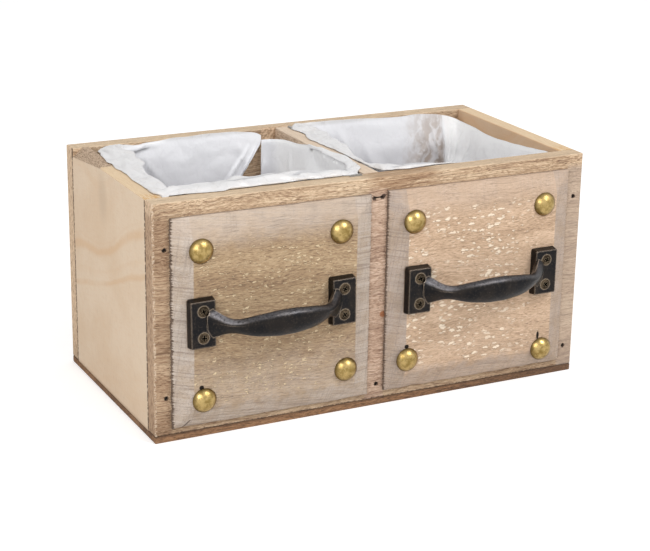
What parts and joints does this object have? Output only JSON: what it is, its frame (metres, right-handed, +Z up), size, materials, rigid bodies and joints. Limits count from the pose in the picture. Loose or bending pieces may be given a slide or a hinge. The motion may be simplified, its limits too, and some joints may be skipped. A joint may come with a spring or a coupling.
{
  "type": "drawer-front planter box",
  "caption": "Open wooden box with lined compartments side by side, made to look like drawers, with bevelled faces, cast pulls and brass nails.",
  "frame": {"origin": "centre of the underside of the base board", "axes": "+X to the right along the front, +Y from the front to the back, +Z up"},
  "size_m": [0.26, 0.1614, 0.1347],
  "materials": {
    "case_wood": "rough-sawn softwood, warm tan, unsealed",
    "side_plywood": "rotary-cut plywood veneer, pale tan, unsealed",
    "base_wood": "rough reddish-brown board",
    "left_face_wood": "whitewashed and rubbed back, olive tan field",
    "right_face_wood": "whitewashed and rubbed back, pinkish tan field",
    "blackened_iron": "blackened casting, rubbed to bronze at its edges",
    "aged_bronze": "dark antique plating",
    "aged_brass": "aged plating, satin",
    "dark_steel": "dull and dark in its hole",
    "galvanised_wire": "dull galvanised wire",
    "liner_film": "thin milky film, soft sheen"
  },
  "bodies": {
    "root": {"base_board": "base_wood", "front_board": "case_wood", "back_board": "case_wood", "centre_divider": "case_wood", "left_side_panel": "side_plywood", "right_side_panel": "side_plywood", "left_drawer_face": "left_face_wood", "right_drawer_face": "right_face_wood", "left_pull": "blackened_iron", "right_pull": "blackened_iron", "left_pull_screws": "aged_bronze", "right_pull_screws": "aged_bronze", "left_dome_nails": "aged_brass", "right_dome_nails": "aged_brass", "front_brads": "dark_steel", "back_brads": "dark_steel", "base_brads": "dark_steel", "left_face_brads": "dark_steel", "right_face_brads": "dark_steel", "front_staple": "dark_steel", "left_liner_staples": "galvanised_wire", "right_liner_staples": "galvanised_wire", "left_liner": "liner_film", "right_liner": "liner_film"}
  },
  "joints": []
}
